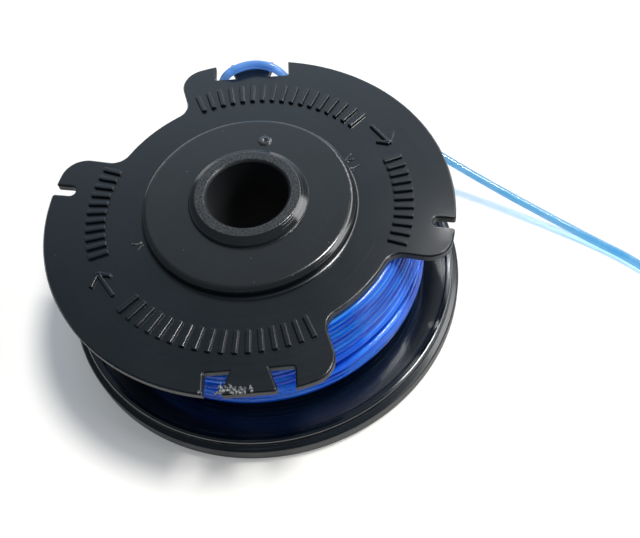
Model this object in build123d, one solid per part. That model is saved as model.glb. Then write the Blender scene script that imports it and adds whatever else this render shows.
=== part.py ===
"""Trimmer line spool, full of line, standing on the foot of its lower flange.

One moulded spool carries the wound line. The end of the line is hooked over the far cleat tab,
and from there it hangs free and comes down to the surface the spool stands on.
The bore axis is +Z and the origin is on that axis, at the foot. All sizes are in millimetres.
"""

import math
import os

from build123d import *

# Trimmer line
line_d = 1.65

# Upper flange
flange_r = 35.0
flange_t = 1.3
flange_edge = 0.25

# Two halves of the upper flange are alike, half a turn apart
halves = 2
tab_angle = 92.2
scallop_angle = 137.1
slit_angle = 170.8

# Scallops that show how much line is left
scallop_depth = 9.2
scallop_floor_span = 36.6
scallop_rim_span = 43.2
scallop_floor_round = 3.0
scallop_lobe_round = 4.2

# Cleat tabs between two notches
notch_depth = 4.3
notch_span = 13.9
notch_round = 0.5
tab_setback = 0.4
tab_root_w = 6.0
tab_tip_w = 8.8

# Slits that park a line end
slit_depth = 3.8
slit_clearance = 0.25
slit_mouth_round = 0.5

# Hub: bore, collar, drum and boss
bore_d = 13.9
bore_lead = 0.4
hub_wall = 1.8
hub_foot_gap = 0.6
collar_step = 1.35
collar_h = 1.5
collar_round = 1.3
drum_r = 17.0
drum_wall = 1.6
boss_step = 1.1
boss_h = 2.15
boss_roof_t = 1.6
boss_round = 1.0

# Winding space between the flanges
winding_h = 17.45

# Lower flange: web, raised lip and stepped skirt
base_r = 36.5
base_h = 4.8
web_t = 1.8
lip_setback = 1.1
lip_w = 1.2
lip_h = 0.25
lip_round = 0.5
ledge_drop = 1.3
ledge_slope = 0.5
ledge_round = 0.5
skirt_wall = 1.6
foot_edge = 0.4

# Indexing lugs inside the skirt
lug_count = 8
lug_depth = 3.0
lug_w = 5.0
lug_foot_gap = 0.5
lug_root = 0.4

# Wound line
pack_inset = 4.85
pack_crest_h = 4.95
pack_top_fall = 4.15
pack_foot_fall = 3.35
turn_ridge = 0.4
turn_flank = 0.5
seat_gap = 0.05

# Line hooked over the far cleat tab
hitch_bow = 1.4
hitch_ease = 0.8
hitch_dip = 1.8
hitch_drop = 7.3
hitch_lead = 20.0
hitch_sink = 2.6
hitch_crown_bend = 8.0
hitch_bend = 2.5
hitch_dip_bend = 3.5

# Free end of the line: its run out of the notch, then its route down and along the surface
exit_run = 5.7
tail_route = [
    (20.0, 32.0, 12.5),
    (37.8, 21.45, 5.2),
    (61.5, 6.1, 0.95),
    (72.6, -1.8, 0.85),
    (80.6, -11.0, 0.85),
]
bend_share = 0.45

# Heights and radii that follow from the sizes above
line_r = line_d / 2
bore_r = bore_d / 2
hub_r = bore_r + hub_wall
collar_r = hub_r + collar_step
drum_in = drum_r - drum_wall
boss_r = drum_r + boss_step
lip_r = base_r - lip_setback
skirt_in = base_r - skirt_wall
web_z = base_h - lip_h
web_under = web_z - web_t
flange_under = web_z + winding_h
flange_z = flange_under + flange_t
boss_z = flange_z + boss_h
collar_z = boss_z + collar_h
pack_r = flange_r - pack_inset
notch_floor = flange_r - notch_depth


def polar(radius, angle, z=0.0):
    """Point at a radius and an angle in degrees about the bore axis."""
    turn = math.radians(angle)
    return Vector(radius * math.cos(turn), radius * math.sin(turn), z)


def nearest_corners(plan, points):
    """Corners of a plan that lie nearest to the given points."""
    return [plan.vertices().sort_by_distance(point)[0] for point in points]


def scallop():
    """Window through the rim, centred on +X, with its floor on a circle about the bore."""
    floor_r = flange_r - scallop_depth
    floor = [polar(floor_r, side * scallop_floor_span / 2) for side in (-1, 1)]
    rim = [polar(flange_r, side * scallop_rim_span / 2) for side in (-1, 1)]
    outside = [at_rim * 2 - at_floor for at_floor, at_rim in zip(floor, rim)]
    outline = [
        ThreePointArc(floor[0], (floor_r, 0), floor[1]),
        Line(floor[1], outside[1]),
        ThreePointArc(outside[1], (outside[0].length, 0), outside[0]),
        Line(outside[0], floor[0]),
    ]
    return make_face(Curve() + outline)


def notch_pair():
    """Two notches through the rim, centred on +X, that leave a dovetail tab between them."""
    outside = flange_r + notch_depth
    tab_tip = flange_r - tab_setback
    block = make_face(Polyline(
        (notch_floor, -notch_span / 2), (outside, -notch_span / 2),
        (outside, notch_span / 2), (notch_floor, notch_span / 2), close=True))
    tab = make_face(Polyline(
        (notch_floor, -tab_root_w / 2), (tab_tip, -tab_tip_w / 2),
        (tab_tip, tab_tip_w / 2), (notch_floor, tab_root_w / 2), close=True))
    cut = block - tab
    corners = [(notch_floor, side * notch_span / 2) for side in (-1, 1)]
    corners += [(tab_tip, side * tab_tip_w / 2) for side in (-1, 1)]
    return fillet(nearest_corners(cut, corners), notch_round)


def slit():
    """Slit through the rim along +X, with a round inner end, that grips the line."""
    width = line_d + slit_clearance
    floor = flange_r - slit_depth
    run = slit_depth * 2
    end_x = floor + width / 2
    return Pos(end_x, 0) * Circle(width / 2) + Pos(end_x + run / 2, 0) * Rectangle(run, width)


def flange_plan():
    """Plan of the upper flange: a disc with scallops, notch pairs and slits in its rim."""
    plan = Circle(flange_r) - Circle(drum_r)
    for half in range(halves):
        turn = half * 360 / halves
        plan -= Rot(0, 0, scallop_angle + turn) * scallop()
        plan -= Rot(0, 0, tab_angle + turn) * notch_pair()
        plan -= Rot(0, 0, slit_angle + turn) * slit()

    floors = []
    lobes = []
    mouths = []
    slit_half = math.degrees((line_d + slit_clearance) / 2 / flange_r)
    for half in range(halves):
        turn = half * 360 / halves
        for side in (-1, 1):
            floor_at = scallop_angle + turn + side * scallop_floor_span / 2
            floors.append(polar(flange_r - scallop_depth, floor_at))
            lobes.append(polar(flange_r, scallop_angle + turn + side * scallop_rim_span / 2))
            mouths.append(polar(flange_r, slit_angle + turn + side * slit_half))
    plan = fillet(nearest_corners(plan, floors), scallop_floor_round)
    plan = fillet(nearest_corners(plan, lobes), scallop_lobe_round)
    return fillet(nearest_corners(plan, mouths), slit_mouth_round)


def upper_flange():
    """Upper flange as a plate with its cut-out rim, its top edge broken all round."""
    plate = Pos(0, 0, flange_under) * extrude(flange_plan(), flange_t)
    rim_edges = plate.faces().sort_by(Axis.Z)[-1].outer_wire().edges()
    return chamfer(rim_edges, flange_edge)


def turned_core():
    """Bore, collar, boss, drum and lower flange, turned from one half section."""
    corners = [
        (bore_r, hub_foot_gap, 0),
        (hub_r, hub_foot_gap, 0),
        (hub_r, boss_z - boss_roof_t, 0),
        (drum_in, boss_z - boss_roof_t, 0),
        (drum_in, web_under, 0),
        (skirt_in, web_under, 0),
        (skirt_in, 0, 0),
        (base_r - foot_edge, 0, 0),
        (base_r, foot_edge, 0),
        (base_r, base_h - ledge_drop - ledge_slope, ledge_round),
        (lip_r, base_h - ledge_drop, 0),
        (lip_r, base_h, lip_round),
        (lip_r - lip_w, base_h, 0),
        (lip_r - lip_w - lip_h, web_z, 0),
        (drum_r, web_z, 0),
        (drum_r, flange_under, 0),
        (boss_r, flange_under, 0),
        (boss_r, boss_z, boss_round),
        (collar_r, boss_z, 0),
        (collar_r, collar_z, collar_round),
        (bore_r + bore_lead, collar_z, 0),
        (bore_r, collar_z - bore_lead, 0),
    ]
    points = [(radius, 0, z) for radius, z, _ in corners]
    rounds = [corner_round for _, _, corner_round in corners]
    section = make_face(FilletPolyline(*points, radius=rounds, close=True))
    return revolve(section, Axis.Z)


def indexing_lugs():
    """Lugs round the inside of the skirt that the head's catch steps along."""
    depth = lug_depth + lug_root
    height = web_under - lug_foot_gap + lug_root
    lug = Box(depth, lug_w, height, align=(Align.MAX, Align.CENTER, Align.MIN))
    spots = PolarLocations(skirt_in + lug_root, lug_count)
    return Pos(0, 0, lug_foot_gap) * (Part() + spots * lug)


def spool_body():
    """The whole moulded spool."""
    return turned_core() + upper_flange() + indexing_lugs()


def wound_turns():
    """Winding as one solid that bulges below its middle, with a ridge for each turn of its outer layer."""
    low = web_z + seat_gap
    high = flange_under - seat_gap
    inner_r = drum_r + seat_gap
    crest_z = web_z + pack_crest_h
    turns = int((high - low) / line_d)
    pitch = (high - low) / turns

    def surface_r(z):
        if z > crest_z:
            return pack_r - pack_top_fall * ((z - crest_z) / (high - crest_z))**2
        return pack_r - pack_foot_fall * ((crest_z - z) / (crest_z - low))**2

    points = []
    for turn in range(turns):
        start = low + pitch * turn
        crest_r = surface_r(start + pitch / 2)
        points.append((surface_r(start) - turn_ridge, 0, start))
        points.append((crest_r, 0, start + turn_flank))
        points.append((crest_r, 0, start + pitch - turn_flank))
    points.append((surface_r(high) - turn_ridge, 0, high))
    points += [(inner_r, 0, high), (inner_r, 0, low)]
    return revolve(make_face(Polyline(*points, close=True)), Axis.Z)


def line_along(path):
    """Round line swept along a path."""
    start = Plane(origin=path @ 0, z_dir=path % 0)
    return sweep(start * Circle(line_r), path=path)


def hitch_points():
    """Route of the hooked line: up one notch, over the far tab, down the other notch and clear of it."""
    tab_side = (tab_root_w + tab_tip_w) / 4
    inner = notch_floor + line_r + seat_gap
    over_z = flange_z + line_r + seat_gap
    dip = Vector(inner, notch_span / 2 - line_r - seat_gap, flange_under - hitch_dip)
    shoulder = Vector(inner, tab_side + line_r + hitch_ease, over_z)
    at_tab = [
        polar(pack_r - hitch_sink, hitch_lead, flange_under - hitch_drop),
        dip,
        shoulder,
        Vector(inner + hitch_bow, 0, over_z),
        Vector(shoulder.X, -shoulder.Y, shoulder.Z),
        Vector(dip.X, -dip.Y, dip.Z),
    ]
    points = [point.rotate(Axis.Z, tab_angle) for point in at_tab]
    along = (Vector(*tail_route[0]) - points[-1]).normalized()
    return points + [points[-1] + along * exit_run]


def hitch_loop():
    """Line from inside the winding over the far tab to where the free end starts."""
    bends = [hitch_dip_bend, hitch_bend, hitch_crown_bend, hitch_bend, hitch_dip_bend]
    return line_along(FilletPolyline(*hitch_points(), radius=bends))


def wound_line():
    """Winding with the line that is hooked over the far tab."""
    return wound_turns() + hitch_loop()


def line_tail():
    """Free end of the line, with each bend as wide as its two runs allow."""
    points = [hitch_points()[-1]] + [Vector(*point) for point in tail_route]
    runs = [b - a for a, b in zip(points, points[1:])]
    bends = []
    for before, after in zip(runs, runs[1:]):
        shorter = min(before.length, after.length)
        half_turn = math.radians(before.get_angle(after)) / 2
        bends.append(bend_share * shorter / math.tan(half_turn))
    path = FilletPolyline(*points, radius=bends)
    tail = line_along(path)
    print("tail runs", [round(run.length, 1) for run in runs], "bends", [round(bend) for bend in bends])
    print("tail length", round(path.length, 2),
          "volume share", round(tail.volume / (math.pi * line_r**2 * path.length), 5))
    return tail


os.makedirs("parts", exist_ok=True)
export_step(spool_body(), "parts/spool_body.step")
export_step(wound_line(), "parts/wound_line.step")
export_step(line_tail(), "parts/line_tail.step")
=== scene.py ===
"""Looks of the trimmer line spool.

The spool keeps its CAD solid and gets the finish of dark moulded plastic, with raised marks, a gate
scar, torn flash and a small round at the foot of its boss. The winding is laid strand by strand over
the form of its solid, and the hooked line runs on into the free end, which is a cord.
"""

import bisect
import math
import random
from collections import namedtuple
from types import SimpleNamespace

import bmesh
import bpy
from mathutils import Matrix, Vector


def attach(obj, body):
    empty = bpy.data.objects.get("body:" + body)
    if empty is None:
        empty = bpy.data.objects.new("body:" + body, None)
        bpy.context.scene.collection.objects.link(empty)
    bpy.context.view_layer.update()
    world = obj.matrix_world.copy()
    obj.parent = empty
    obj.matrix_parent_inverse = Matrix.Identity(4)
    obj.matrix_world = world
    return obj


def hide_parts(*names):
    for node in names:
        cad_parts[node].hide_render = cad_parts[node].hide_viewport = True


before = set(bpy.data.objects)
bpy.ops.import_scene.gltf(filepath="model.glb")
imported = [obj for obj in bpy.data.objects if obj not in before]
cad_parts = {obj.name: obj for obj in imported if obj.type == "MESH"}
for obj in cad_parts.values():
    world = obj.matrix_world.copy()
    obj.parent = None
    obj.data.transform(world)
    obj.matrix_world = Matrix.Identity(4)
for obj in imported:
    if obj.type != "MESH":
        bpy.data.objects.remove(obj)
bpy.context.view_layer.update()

MM = 0.001

# Sizes that the part's source gives, in millimetres and degrees
line_d = 1.65
line_r = line_d / 2
flange_z = 23.3
boss_z = 25.45
boss_r = 18.1
collar_z = 26.95
pack_r = 30.15
pack_crest_z = 9.5
pack_low = 4.6
pack_high = 21.95
pack_top_fall = 4.15
pack_foot_fall = 3.35
tab_angle = 92.2

# Route of the hooked line about the far tab, in a frame whose +X runs out along the tab
hitch_route = [
    (25.89, 9.42, 14.7),
    (31.55, 6.5, 20.5),
    (31.35, 4.45, 24.4),
    (33.3, -0.2, 24.35),
    (31.75, -4.7, 24.3),
    (31.5, -6.9, 20.4),
]
# Route of the free end, from where it is clear of the notch
tail_route = [
    (9.938, 31.857, 17.617),
    (20.0, 32.0, 12.5),
    (37.8, 21.45, 5.2),
    (61.5, 6.1, 0.95),
    (72.6, -1.8, 0.85),
    (80.6, -11.0, 0.85),
]

# Layers of the winding: how deep each lies, and where its turns part, as a turn, an angle and a width
Gap = namedtuple("Gap", "turn angle width")
outer_layer = (0.1, Gap(7.6, -50.0, 1.9))
inner_layer = (1.2, Gap(20.0, 0.0, 0.0))
turn_pitch = line_d * 0.7
steps_per_turn = 110
# A gap opens by this many of its widths a turn, and closes over this many last turns
gap_growth = 3
gap_fade_turns = 4

# Zones of the spool's finish, in millimetres: each grows from nothing at the first height, or distance
# from the bore's axis, to full at the second
web_height = (6.2, 5.6)
outer_web_radius = (30.5, 33.0)
lip_radius = (34.2, 34.6)
lip_height = (4.0, 4.3)
skirt_height = (3.5, 2.9)
rim_radius = (19.5, 20.5)
rim_low = (21.0, 21.8)
rim_high = (flange_z, flange_z - 0.1)
boss_top_height = (flange_z + 1.2, flange_z + 1.9)
boss_edge_inside = (boss_r - 1.0, boss_r)
boss_edge_outside = (boss_r + 0.2, boss_r + 0.05)
boss_edge_height = (24.5, 24.9)
collar_top_height = (collar_z - 0.25, collar_z - 0.1)
collar_top_radius = (8.95, 8.7)
collar_flank_radius = (8.75, 9.0)
collar_flank_height = (boss_z + 0.05, boss_z + 0.35)
bore_radius = (7.3, 7.0)
edge_round = 0.22
slope_rise = 1.7

# Colours
white = (1.0, 1.0, 1.0, 1.0)
cool_tint = (0.72, 1.0, 1.32)
boss_sheen_tint = (1.0, 1.0, 0.9)
# Warm tint of the boss top's painted sheen
torn_tint = (1.0, 0.99, 0.95)
plain_tint = (1.0, 1.0, 1.0)
# The web's near black, painted darker as the shade under the upper flange and tinted blue as the winding's
# painted reflection
web_black_shade_and_glow = (0.002, 0.005, 0.010, 1.0)
# Painted shade inside the bore: near black with a blue tint
bore_painted_shade = (0.0, 0.001, 0.004, 1.0)
deep_blue = (0.0, 0.045, 0.50, 1.0)
bright_blue = (0.0, 0.135, 0.90, 1.0)
streak_blue = (0.02, 0.26, 0.9, 1.0)
# Paler blue painted along the strands' upper and lower sides, as light gathered there
painted_edge_light_blue = (0.08, 0.34, 1.0, 1.0)
tail_blue = (0.015, 0.34, 0.66, 1.0)
hook_blue = (0.13, 0.43, 0.98, 1.0)
line_shadow = (0.35, 0.43, 0.5, 1.0)
paper_dark = (0.9, 0.87, 0.81, 1.0)
paper_light = (0.94, 0.9, 0.84, 1.0)
sky_blue = (0.79, 0.96, 1.13, 1.0)

# Raised ribs on one half of the flange: first and last angle, count, inner and outer radius
rib_rows = [
    (113.2, 44.6, 17, 24.1, 28.1),
    (19.6, -19.6, 11, 24.5, 27.9),
]
rib_w, rib_h = 0.95, 0.5
# Arrow between them: radius and angle of its tip, and of the far ends of its three bars
arrow_tip = (27.3, 27.0)
arrow_ends = [(27.0, 38.4), (25.5, 30.6), (29.2, 31.0)]
arrow_w, arrow_h = 0.75, 0.44
mark_round = 0.12

# Torn flash: crumbs scattered over the near tab, burrs as radius, angle and size, and hairs as the
# radius and angle of both ends and a width
crumb_count = 44
crumb_angles = (-95.4, -87.0)
crumb_radius = 34.55
crumb_spread = 0.8
crumb_sizes = (0.16, 0.42)
burrs = [
    (18.75, 29.0, 0.2),
    (18.85, 27.2, 0.16),
    (18.8, 22.4, 0.2),
    (18.9, 20.6, 0.14),
    (19.2, -159.2, 0.26),
    (19.0, -157.6, 0.2),
    (34.6, -100.3, 0.28),
    (34.7, -99.6, 0.2),
]
hairs = [
    ((18.9, 29.4), (20.4, 31.0), 0.16),
    ((19.0, 28.2), (20.2, 27.0), 0.14),
    ((19.0, 22.0), (20.5, 22.6), 0.16),
    ((19.0, -158.6), (20.6, -160.4), 0.18),
    ((19.1, -158.0), (20.1, -155.6), 0.14),
    ((33.8, -94.4), (34.7, -96.2), 0.2),
]
hair_h = 0.16

# Gate scar: its place on the boss, and its section as radius and height from the rim to the middle
scar_place = (12.7, 79.5)
scar_section = [(1.35, -0.03), (1.0, 0.05), (0.72, 0.2), (0.5, 0.24), (0.36, 0.1), (0.2, 0.05)]
scar_middle = 0.12

# Camera fitted to the photograph, in millimetres and degrees, and the photograph's crop in pixels
camera_at = (21.54, -83.81, 133.91)
camera_tilt = 32.2697
camera_roll = -2.68125
camera_lens = 45.582
sensor_width = 36.0
photo_width = 640
crop_shift = -60


class Wire:
    """A node's output that takes part in Python expressions; each operator adds a Math node."""

    def __init__(self, finish, socket):
        self.finish = finish
        self.socket = socket

    def math(self, operation, *terms):
        return self.finish.node("ShaderNodeMath", {"operation": operation}, dict(enumerate(terms)))

    def __add__(self, other):
        return self.math("ADD", self, other)

    __radd__ = __add__

    def __sub__(self, other):
        return self.math("SUBTRACT", self, other)

    def __rsub__(self, other):
        return self.math("SUBTRACT", other, self)

    def __mul__(self, other):
        return self.math("MULTIPLY", self, other)

    __rmul__ = __mul__

    def __truediv__(self, other):
        return self.math("DIVIDE", self, other)

    def __rtruediv__(self, other):
        return self.math("DIVIDE", other, self)

    def __pow__(self, other):
        return self.math("POWER", self, other)

    def __rpow__(self, other):
        return self.math("POWER", other, self)


class Finish:
    """The node tree of a material or of the world."""

    def __init__(self, owner):
        self.owner = owner
        owner.use_nodes = True
        self.tree = owner.node_tree
        self.tree.nodes.clear()

    def node(self, kind, settings=None, inputs=None, output=0):
        """A node with its settings, then the values or links of its inputs; gives one output."""
        made = self.tree.nodes.new(kind)
        for key, value in (settings or {}).items():
            setattr(made, key, value)
        for key, value in (inputs or {}).items():
            if isinstance(value, Wire):
                self.tree.links.new(value.socket, made.inputs[key])
            else:
                made.inputs[key].default_value = value
        return Wire(self, made.outputs[output]) if made.outputs else None

    def place(self):
        """Position on the object, in metres."""
        return self.node("ShaderNodeTexCoord", output="Object")

    def normal(self):
        """Direction that the surface faces."""
        return self.node("ShaderNodeNewGeometry", output="Normal")

    def vector(self, *parts):
        """Vector from its values."""
        return self.node("ShaderNodeCombineXYZ", inputs=dict(enumerate(parts)))

    def parts_of(self, vector):
        """The three values of a vector."""
        return [self.node("ShaderNodeSeparateXYZ", inputs={0: vector}, output=k) for k in range(3)]

    def stretched(self, vector, factors):
        """Vector times a factor along each axis."""
        return self.node("ShaderNodeVectorMath", {"operation": "MULTIPLY"}, {0: vector, 1: factors})

    def dot(self, first, second):
        """How far two directions agree."""
        settings = {"operation": "DOT_PRODUCT"}
        return self.node("ShaderNodeVectorMath", settings, {0: first, 1: second}, "Value")

    def noise(self, vector, scale, detail=2.0, roughness=0.5):
        """Soft noise from 0 to 1."""
        inputs = {"Vector": vector, "Scale": scale, "Detail": detail, "Roughness": roughness}
        return self.node("ShaderNodeTexNoise", inputs=inputs)

    def cells(self, vector, scale):
        """Distance to the nearest of many scattered spots."""
        return self.node("ShaderNodeTexVoronoi", inputs={"Vector": vector, "Scale": scale})

    def rise(self, value, low, high):
        """0 below low and 1 above high, with a soft step between; falls where low is above high."""
        inputs = {"Value": value, "From Min": low, "From Max": high}
        return self.node("ShaderNodeMapRange", {"interpolation_type": "SMOOTHSTEP"}, inputs)

    def zone(self, length, ends):
        """The same step over a length, with its two ends in millimetres."""
        low, high = ends
        return self.rise(length, low * MM, high * MM)

    def blend(self, mask, first, second):
        """Colour that goes from the first to the second with the mask."""
        settings = {"data_type": "RGBA"}
        return self.node("ShaderNodeMix", settings, {0: mask, 6: first, 7: second}, output=2)

    def seen(self, rays):
        """1 for any of the named kinds of light ray."""
        found = self.node("ShaderNodeLightPath", output=rays[0])
        for ray in rays[1:]:
            found = found.math("MAXIMUM", found, self.node("ShaderNodeLightPath", output=ray))
        return found

    def bump(self, height, distance, strength, under=None):
        """Normal that follows small heights, on top of another normal where one is given."""
        inputs = {"Height": height, "Distance": distance, "Strength": strength}
        if under:
            inputs["Normal"] = under
        return self.node("ShaderNodeBump", inputs=inputs)

    def plastic(self, **inputs):
        """Principled surface from the named inputs."""
        return self.node("ShaderNodeBsdfPrincipled", inputs={
            name.replace("_", " "): value for name, value in inputs.items()})

    def mixed(self, share, first, second):
        """Surface that goes from the first to the second with the share."""
        return self.node("ShaderNodeMixShader", inputs={0: share, 1: first, 2: second})

    def show(self, surface):
        """The material, with this surface."""
        self.node("ShaderNodeOutputMaterial", inputs={"Surface": surface})
        return self.owner


def new_finish(name):
    """Finish of a new material."""
    return Finish(bpy.data.materials.new(name))


def grey(level, tint=cool_tint):
    """A grey of one level, tinted."""
    return (*[level * part for part in tint], 1.0)


def spool_zones(finish, radius, z):
    """Masks of the spool's zones, from height, distance from the axis and steepness."""
    normal_z = finish.parts_of(finish.normal())[2]
    steep = finish.rise(normal_z.math("ABSOLUTE", normal_z), 0.5, 0.2)
    wall = steep * finish.zone(radius, rim_radius)
    web = finish.zone(z, web_height)
    collar_flank = finish.zone(radius, collar_flank_radius) * finish.zone(z, collar_flank_height)
    boss_edge = finish.zone(radius, boss_edge_inside) * finish.zone(z, boss_edge_height)
    return SimpleNamespace(
        web=web,
        outer_web=finish.zone(radius, outer_web_radius),
        lip=web * finish.zone(radius, lip_radius) * finish.zone(z, lip_height),
        skirt_wall=wall * finish.zone(z, skirt_height),
        rim_wall=wall * finish.zone(z, rim_low) * finish.zone(z, rim_high),
        boss_top=finish.zone(z, boss_top_height),
        collar_top=finish.zone(z, collar_top_height),
        collar_ring=finish.zone(radius, collar_top_radius),
        bore=finish.zone(radius, bore_radius),
        sloped=collar_flank + boss_edge * finish.zone(radius, boss_edge_outside),
    )


def spool_plastic():
    """Black nylon moulding: satin upper flange with turning marks, polished web, dust, and painted light:
    paler edges as wear and highlight, a lighter boss top as sheen, a darker, bluer web as shade and
    reflection, and a darker bore as shade.
    """
    finish = new_finish("spool_plastic")
    place = finish.place()
    x, y, z = finish.parts_of(place)
    radius = (x * x + y * y)**0.5
    zone = spool_zones(finish, radius, z)

    turn = x.math("ARCTAN2", y, x)
    round_axis = finish.vector(radius * 3000, turn * 0.9, z * 900)
    grain = finish.noise(place, 6500)
    turned = finish.noise(round_axis, 1.0)
    cloud = finish.noise(place, 90, 3.0)
    smear = finish.noise(round_axis, 0.12, 4.0, 0.6)
    speckle = finish.rise(finish.noise(place, 5000), 0.4, 0.64) * zone.collar_ring

    rounded = finish.node("ShaderNodeBevel", {"samples": 6}, {"Radius": edge_round * MM})
    edge = finish.rise(finish.dot(rounded, finish.normal()), 0.985, 0.86)
    # Edges painted paler where the rounding turns: partly wear, partly a painted highlight along them
    edge_wear_and_highlight = edge * finish.rise(finish.noise(place, 700, 3.0), 0.3, 0.62)
    speck_size = finish.rise(finish.noise(place, 420, 1.0), 0.52, 0.8)
    dust = finish.rise(finish.cells(place, 640), 0.055, 0.03) * speck_size
    scuff = finish.rise(turned, 0.66, 0.74) * finish.rise(cloud, 0.5, 0.62) * zone.web

    mottle = cloud * 0.4 + finish.rise(grain, 0.35, 0.65) * 0.6
    colour = finish.blend(mottle, grey(0.0045), grey(0.0098))
    # Painted sheen: the boss top lighter and warmer than the rest of the moulding
    colour = finish.blend(zone.boss_top * 0.5, colour, grey(0.017, boss_sheen_tint))
    colour = finish.blend(zone.collar_top * speckle * 0.7, colour, grey(0.085, plain_tint))
    # Painted shade and reflection: the web darker, and bluer from the winding's glow
    colour = finish.blend(zone.web * 0.75, colour, web_black_shade_and_glow)
    # Painted shade: the bore near black, as the shade deep inside it
    colour = finish.blend(zone.bore * 0.95, colour, bore_painted_shade)
    # Painted highlight and wear: the edges paler
    colour = finish.blend(edge_wear_and_highlight * 0.5, colour, grey(0.1))
    colour = finish.blend(scuff * 0.3, colour, grey(0.06))
    colour = finish.blend(dust * 0.8, colour, grey(0.4))

    satin = 0.23 + (turned - 0.5) * 0.12 + (cloud - 0.5) * 0.10
    satin = satin - zone.sloped * 0.13 + zone.bore * 0.6 + zone.rim_wall * 0.25
    polished = 0.12 + finish.rise(smear, 0.5, 0.8) * 0.08
    polished = polished + zone.outer_web * 0.12 - zone.lip * 0.15 + zone.skirt_wall * 0.2
    roughness = satin + (polished - satin) * zone.web + scuff * 0.12 + dust * 0.3
    coat = 0.3 - zone.web * 0.05 + zone.lip * 0.6 - zone.collar_top * 0.2 - zone.bore * 0.3
    coat = coat - zone.rim_wall * 0.3 - zone.skirt_wall * 0.25

    slope = finish.vector(x / radius, y / radius, slope_rise)
    slope = finish.node("ShaderNodeVectorMath", {"operation": "NORMALIZE"}, {0: slope})
    relief = (grain + turned * 0.5) * (1 - zone.web)
    relief = relief + zone.boss_top * turned * 0.8 + zone.collar_top * grain * 2
    normal = finish.bump(relief * (1 - zone.sloped * 0.85), 0.00001, 0.5,
                         under=finish.blend(zone.sloped, rounded, slope))
    return finish.show(finish.plastic(
        Base_Color=colour, Roughness=roughness, Normal=normal, IOR=1.5, Specular_IOR_Level=0.5,
        Coat_Weight=coat, Coat_Roughness=0.1))


def torn_plastic():
    """Plastic whitened where flash tore off."""
    finish = new_finish("torn_plastic")
    crumb = finish.noise(finish.place(), 2600, 3.0)
    pale = finish.rise(crumb, 0.42, 0.66)
    colour = finish.blend(pale, grey(0.02), grey(0.32, torn_tint))
    return finish.show(finish.plastic(
        Base_Color=colour, Roughness=0.45 + pale * 0.3, Normal=finish.bump(crumb, 0.0001, 0.7)))


def wound_nylon():
    """Deep blue line, packed close: glossy, with paler streaks, and a paler blue painted along the
    strands' upper and lower sides as light that gathers there.
    """
    finish = new_finish("wound_nylon")
    place = finish.place()
    x, y, z = finish.parts_of(place)
    normal_x, normal_y, normal_z = finish.parts_of(finish.normal())
    lean = (z - pack_crest_z * MM) * (-2 * pack_top_fall / (pack_high - pack_crest_z)**2 / MM)
    outward = (normal_x * x + normal_y * y) / (x * x + y * y)**0.5
    up_side = (outward * lean + normal_z) / (lean * lean + 1)**0.5
    cloud = finish.noise(place, 120)
    streak = finish.noise(finish.stretched(place, (1.0, 1.0, 4.0)), 900, 3.0)
    along = finish.vector(x.math("ARCTAN2", y, x) * 2, z * 900)
    strand = finish.rise(finish.noise(along, 1.0, 1.0), 0.34, 0.66)
    # Painted light: a paler blue on the sides of each strand that face up or down, broken up by cloud
    rim = finish.rise(up_side * up_side, 0.16, 0.32) * finish.rise(cloud, 0.3, 0.55)
    colour = finish.blend(strand, deep_blue, bright_blue)
    colour = finish.blend(finish.rise(streak, 0.6, 0.8) * 0.35, colour, streak_blue)
    colour = finish.blend(rim * 0.7, colour, painted_edge_light_blue)
    roughness = 0.07 + finish.rise(streak, 0.45, 0.8) * 0.08
    return finish.show(finish.plastic(
        Base_Color=colour, Roughness=roughness, Normal=finish.bump(streak, 0.00003, 0.3),
        IOR=1.5, Specular_IOR_Level=0.1, Subsurface_Weight=0.6, Subsurface_Radius=(0.1, 0.4, 1.0),
        Subsurface_Scale=0.002, Coat_Weight=0.45, Coat_Roughness=0.03))


def clear_nylon(name, shade, clearness):
    """The same line where light passes through it, with a tinted shadow."""
    finish = new_finish(name)
    cloud = finish.noise(finish.place(), 160)
    pale = [part + (1 - part) * 0.25 for part in shade[:3]]
    body = finish.plastic(
        Base_Color=finish.blend(cloud, shade, (*pale, 1.0)), Roughness=0.05 + cloud * 0.06, IOR=1.5,
        Transmission_Weight=clearness, Normal=finish.bump(cloud, 0.00005, 0.2))
    veil = finish.node("ShaderNodeBsdfTransparent", inputs={"Color": line_shadow})
    return finish.show(finish.mixed(finish.seen(["Is Shadow Ray"]), body, veil))


def table_white():
    """White table: it shows white to the camera and keeps the spool's shadow."""
    finish = new_finish("table_white")
    fleck = finish.noise(finish.place(), 40, 3.0)
    paper = finish.node("ShaderNodeBsdfDiffuse", inputs={
        "Color": finish.blend(fleck, paper_dark, paper_light)})
    glow = finish.node("ShaderNodeEmission", inputs={"Color": white, "Strength": 0.19})
    lifted = finish.node("ShaderNodeAddShader", inputs={0: paper, 1: glow})
    seen = finish.seen(["Is Camera Ray", "Is Glossy Ray", "Is Transmission Ray"])
    return finish.show(finish.mixed(seen, paper, lifted))


def placed(name, data):
    """An object in the scene."""
    made = bpy.data.objects.new(name, data)
    bpy.context.scene.collection.objects.link(made)
    return made


def linked(name, data, material):
    """An object of the spool that rides on its one body."""
    made = placed(name, data)
    data.materials.append(material)
    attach(made, "root")
    return made


def mesh_data(name, mesh):
    """Mesh of an object, from one that was built up."""
    data = bpy.data.meshes.new(name)
    mesh.to_mesh(data)
    mesh.free()
    return data


def smoothed(data):
    """The mesh, with smooth shading."""
    for face in data.polygons:
        face.use_smooth = True
    return data


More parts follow.
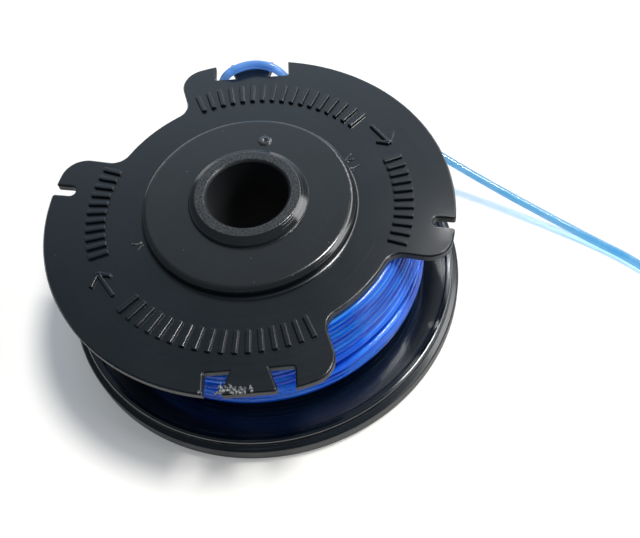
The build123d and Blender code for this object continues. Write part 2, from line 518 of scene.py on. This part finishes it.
def line_curve(name, routes, kind):
    """Curve of round line along routes in millimetres."""
    data = bpy.data.curves.new(name, "CURVE")
    data.dimensions = "3D"
    data.bevel_depth = line_r * MM
    data.bevel_resolution = 3
    data.use_fill_caps = True
    data.resolution_u = 12
    for route in routes:
        spline = data.splines.new(kind)
        spline.points.add(len(route) - 1)
        for point, at in zip(spline.points, route):
            point.co = (*[part * MM for part in at], 1.0)
        if kind == "NURBS":
            spline.order_u = 3
            spline.use_endpoint_u = True
    return data


def pack_radius(z):
    """Radius of the winding's solid at a height."""
    if z > pack_crest_z:
        return pack_r - pack_top_fall * ((z - pack_crest_z) / (pack_high - pack_crest_z))**2
    return pack_r - pack_foot_fall * ((pack_crest_z - z) / (pack_crest_z - pack_low))**2


def winding_side(steps=300):
    """Rows of length along, radius and height, up the winding's side."""
    rows = []
    for step in range(steps + 1):
        z = pack_low + (pack_high - pack_low) * step / steps
        radius = pack_radius(z)
        along = 0.0
        if rows:
            along = rows[-1][0] + math.hypot(radius - rows[-1][1], z - rows[-1][2])
        rows.append((along, radius, z))
    return rows


def beside_side(rows, along, sink):
    """Radius and height at a length along the side, sunk by a depth square to it."""
    lengths = [row[0] for row in rows]
    at = min(max(bisect.bisect(lengths, along), 1), len(rows) - 1)
    (a, radius_a, z_a), (b, radius_b, z_b) = rows[at - 1], rows[at]
    share = (along - a) / (b - a)
    out = Vector((z_b - z_a, radius_a - radius_b)).normalized()
    spot = Vector((radius_a, z_a)).lerp(Vector((radius_b, z_b)), share)
    return spot - out * sink


def drawn_waves(rng, count, rates, sizes):
    """Waves along the line, each with a rate, a start and a size."""
    return [(rng.uniform(*rates), rng.uniform(0, math.tau), rng.uniform(*sizes)) for _ in range(count)]


def wave_sum(waves, angle):
    """How far the waves move the line at an angle along it."""
    return sum(size * math.sin(rate * angle + start) for rate, start, size in waves)


def clamped(value, low, high):
    """The value, held between two limits."""
    return min(max(value, low), high)


def layer_route(rows, rng, sink, gap):
    """One layer of line wound up the side in close turns, loose where a gap opens."""
    whole = rows[-1][0]
    room = whole - line_d
    turns = room / turn_pitch
    strays = drawn_waves(rng, 5, (0.6, 3.4), (0.05, 0.17))
    lifts = drawn_waves(rng, 4, (0.8, 4.2), (0.03, 0.10))
    steps = int(turns * steps_per_turn)
    route = []
    for step in range(steps + 1):
        turn = turns * step / steps
        angle = turn * math.tau
        opening = max(0.0, math.cos(angle - math.radians(gap.angle)))**2
        above = clamped((turn - gap.turn) * gap_growth, 0.0, 1.0)
        fade = clamped((turns - turn) / gap_fade_turns, 0.0, 1.0)
        along = line_r + room * step / steps + wave_sum(strays, angle)
        along = clamped(along + gap.width * opening * above * fade, line_r, whole - line_r)
        radius, z = beside_side(rows, along, sink + line_r - wave_sum(lifts, angle))
        route.append((radius * math.cos(angle), radius * math.sin(angle), z))
    return route


def wound_strands():
    """The outer layer of line, and the one under it that shows in its gaps."""
    rng = random.Random(11)
    rows = winding_side()
    routes = [layer_route(rows, rng, sink, gap) for sink, gap in (outer_layer, inner_layer)]
    strands = linked("wound_strands", line_curve("wound_strands", routes, "POLY"), wound_nylon())
    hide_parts("wound_line")


def at_tab(point):
    """Point in the far tab's frame, brought into the spool's."""
    return Matrix.Rotation(math.radians(tab_angle), 3, "Z") @ Vector(point)


def hooked_line(material):
    """The line's end from the winding over the far tab to where it is clear of the notch."""
    route = [at_tab(point) for point in hitch_route] + [Vector(tail_route[0])]
    hooked = linked("hooked_line", line_curve("hooked_line", [route], "NURBS"), material)
    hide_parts("wound_line")


def free_end(material):
    """The line's free end, down to the table and along it to its cut end."""
    tail = linked("free_end", line_curve("free_end", [tail_route], "NURBS"), material)
    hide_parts("line_tail")


def plan_polar(radius, angle):
    """Point of the plan from its radius and angle."""
    turn = math.radians(angle)
    return radius * math.cos(turn), radius * math.sin(turn)


def add_bar(mesh, start, end, width, top):
    """Raised bar on the flange between two points of its plan, set a little into it."""
    sink, foot_spread, top_spread = 0.1, 1.15, 0.8
    start, end = Vector((*start, 0.0)), Vector((*end, 0.0))
    half = (end - start).normalized().cross(Vector((0, 0, 1))) * width / 2
    corners = []
    for z, spread in ((flange_z - sink, foot_spread), (flange_z + top, top_spread)):
        across = half * spread
        for spot in (start - across, end - across, end + across, start + across):
            corners.append(mesh.verts.new((spot + Vector((0, 0, z))) * MM))
    sides = [(0, 1, 5, 4), (1, 2, 6, 5), (2, 3, 7, 6), (3, 0, 4, 7)]
    for face in [(3, 2, 1, 0), (4, 5, 6, 7)] + sides:
        mesh.faces.new([corners[k] for k in face])


def raised_marks(material):
    """Plain moulded ribs in two rows a half, and an arrow between them that gives the winding way."""
    mesh = bmesh.new()
    for half in (0, 180):
        for first, last, count, inner, outer in rib_rows:
            for rib in range(count):
                angle = half + first + (last - first) * rib / (count - 1)
                add_bar(mesh, plan_polar(inner, angle), plan_polar(outer, angle), rib_w, rib_h)
        tip_radius, tip_angle = arrow_tip
        for radius, angle in arrow_ends:
            add_bar(mesh, plan_polar(radius, half + angle), plan_polar(tip_radius, half + tip_angle),
                    arrow_w, arrow_h)
    marks = linked("raised_marks", smoothed(mesh_data("raised_marks", mesh)), material)
    soften = marks.modifiers.new("soft_edges", "BEVEL")
    soften.width = mark_round * MM
    soften.segments = 3
    soften.harden_normals = True


def add_crumb(mesh, rng, at, size):
    """Torn crumb of plastic: a jagged lump."""
    made = bmesh.ops.create_icosphere(mesh, subdivisions=1, radius=size * MM)
    for vert in made["verts"]:
        vert.co *= rng.uniform(0.55, 1.3)
        vert.co.z *= 0.75
        vert.co += Vector(at) * MM


def torn_flash(material):
    """Crumbs of flash on the near tab, and burrs and hairs beside the boss and on the near rim."""
    rng = random.Random(5)
    mesh = bmesh.new()
    for _ in range(crumb_count):
        angle = rng.uniform(*crumb_angles)
        radius = crumb_radius - abs(rng.gauss(0.0, crumb_spread))
        size = rng.uniform(*crumb_sizes)
        add_crumb(mesh, rng, (*plan_polar(radius, angle), flange_z + size * 0.25), size)
    for radius, angle, size in burrs:
        add_crumb(mesh, rng, (*plan_polar(radius, angle), flange_z + size * 0.3), size)
    for start, end, width in hairs:
        add_bar(mesh, plan_polar(*start), plan_polar(*end), width, hair_h)
    flash = linked("torn_flash", mesh_data("torn_flash", mesh), material)


def boss_foot(material):
    """Small hollow round where the boss meets the upper flange."""
    reach, overlap, sink = 0.4, 0.1, 0.03
    steps, sides = 6, 144
    section = [(boss_r + reach + overlap, flange_z - sink)]
    for step in range(steps + 1):
        turn = math.radians(90 * step / steps)
        section.append((boss_r + reach * (1 - math.sin(turn)), flange_z + reach * (1 - math.cos(turn))))
    section.append((boss_r - sink, flange_z + reach + overlap))
    count = len(section)
    verts, faces = [], []
    for side in range(sides):
        angle = 360 * side / sides
        verts += [Vector((*plan_polar(radius, angle), z)) * MM for radius, z in section]
        here, after = side * count, (side + 1) % sides * count
        faces += [(here + k, after + k, after + k + 1, here + k + 1) for k in range(count - 1)]
    data = bpy.data.meshes.new("boss_foot")
    data.from_pydata(verts, [], faces)
    foot = linked("boss_foot", smoothed(data), material)


def gate_scar(material):
    """Rough little crater on the boss where the moulding was fed."""
    rng = random.Random(3)
    sides = 20
    centre = Vector((*plan_polar(*scar_place), boss_z))
    mesh = bmesh.new()
    rings = []
    for radius, height in scar_section:
        ring = []
        for side in range(sides):
            turn = math.tau * side / sides
            reach = radius * rng.uniform(0.86, 1.14)
            lift = height * rng.uniform(0.7, 1.25)
            spot = Vector((reach * math.cos(turn), reach * math.sin(turn), lift))
            ring.append(mesh.verts.new((centre + spot) * MM))
        rings.append(ring)
    middle = mesh.verts.new((centre + Vector((0, 0, scar_middle))) * MM)
    for outer, inner in zip(rings, rings[1:]):
        for side in range(sides):
            after = (side + 1) % sides
            mesh.faces.new((outer[side], outer[after], inner[after], inner[side]))
    for side in range(sides):
        mesh.faces.new((rings[-1][side], rings[-1][(side + 1) % sides], middle))
    scar = linked("gate_scar", smoothed(mesh_data("gate_scar", mesh)), material)


def white_table():
    """The table that the spool stands on."""
    reach = 3.0
    corners = [(-reach, -reach, 0), (reach, -reach, 0), (reach, reach, 0), (-reach, reach, 0)]
    data = bpy.data.meshes.new("white_table")
    data.from_pydata(corners, [], [(0, 1, 2, 3)])
    data.materials.append(table_white())
    table = placed("white_table", data)


def facing(way):
    """Turn of a lamp that shines from a direction."""
    return Vector(way).to_track_quat("Z", "Y").to_euler()


def sun(name, way, power, spread):
    """Far lamp in a direction, as wide as its spread in degrees."""
    data = bpy.data.lights.new(name, "SUN")
    data.energy = power
    data.angle = math.radians(spread)
    placed(name, data).rotation_euler = facing(way)


def lamp(name, way, distance, width, height, power):
    """Oval area lamp along a direction from the spool, facing it."""
    data = bpy.data.lights.new(name, "AREA")
    data.shape = "ELLIPSE"
    data.size = width
    data.size_y = height
    data.energy = power
    made = placed(name, data)
    made.location = Vector(way).normalized() * distance
    made.rotation_euler = facing(way)
    return made


def lamps():
    """A high key and a low fill on the right, a long strip for highlights, and lamps overhead."""
    sun("key_lamp", way=(0.38, 0.23, 1.0), power=2.34, spread=13)
    fill = lamp("side_lamp", way=(1.0, -0.05, 0.45), distance=1.4, width=0.88, height=0.34, power=7.0)
    fill.visible_glossy = False
    strip = lamp("strip_lamp", way=(0.92, 0.39, 0.89), distance=1.4, width=3.2, height=0.40, power=21.0)
    strip.visible_diffuse = False
    lamp("lamp_shade", way=(0.050, 0.130, 0.267), distance=0.30, width=0.03, height=0.075, power=0.008)
    lamp("small_lamp_a", way=(0.057, 0.157, 0.258), distance=0.31, width=0.004, height=0.004, power=0.005)
    lamp("small_lamp_b", way=(0.046, 0.124, 0.269), distance=0.30, width=0.004, height=0.004, power=0.0035)


def studio_sky():
    """Dim sky, brightest behind the spool, that shows white to the camera and through the line."""
    world = bpy.data.worlds.new("studio_sky")
    bpy.context.scene.world = world
    sky = Finish(world)
    way = sky.node("ShaderNodeTexCoord", output="Generated")

    def glow(strength, tint=sky_blue):
        return sky.node("ShaderNodeBackground", inputs={"Color": tint, "Strength": strength})

    above = sky.rise(sky.dot(way, (0.2, 0.55, 0.81)), -0.2, 0.8)
    behind = sky.rise(sky.dot(way, (-0.1, 0.93, 0.34)), 0.74, 0.98)
    room = sky.mixed(behind, sky.mixed(above, glow(0.08), glow(0.22)), glow(1.1))
    seen = sky.seen(["Is Camera Ray", "Is Transmission Ray"])
    shown = sky.mixed(seen, room, glow(1.0, white))
    sky.node("ShaderNodeOutputWorld", inputs={"Surface": shown})


def photo_camera():
    """Camera fitted to the photograph, whose frame is cropped off the lens axis."""
    data = bpy.data.cameras.new("photo_camera")
    data.sensor_width = sensor_width
    data.lens = camera_lens
    data.shift_x = crop_shift / photo_width
    data.clip_start = 0.01
    made = placed("photo_camera", data)
    made.location = Vector(camera_at) * MM
    tilt = Matrix.Rotation(math.radians(camera_tilt), 3, "X")
    roll = Matrix.Rotation(math.radians(camera_roll), 3, "Z")
    made.rotation_euler = (tilt @ roll).to_euler()
    bpy.context.scene.camera = made


bpy.context.scene.view_settings.view_transform = "Standard"
photo_camera()
lamps()
studio_sky()
white_table()

moulding = spool_plastic()
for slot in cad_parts["spool_body"].material_slots:
    slot.material = moulding
free_end(clear_nylon("clear_nylon", tail_blue, clearness=0.85))
hooked_line(clear_nylon("hooked_nylon", hook_blue, clearness=0.48))
wound_strands()
raised_marks(moulding)
torn_flash(torn_plastic())
gate_scar(moulding)
boss_foot(moulding)
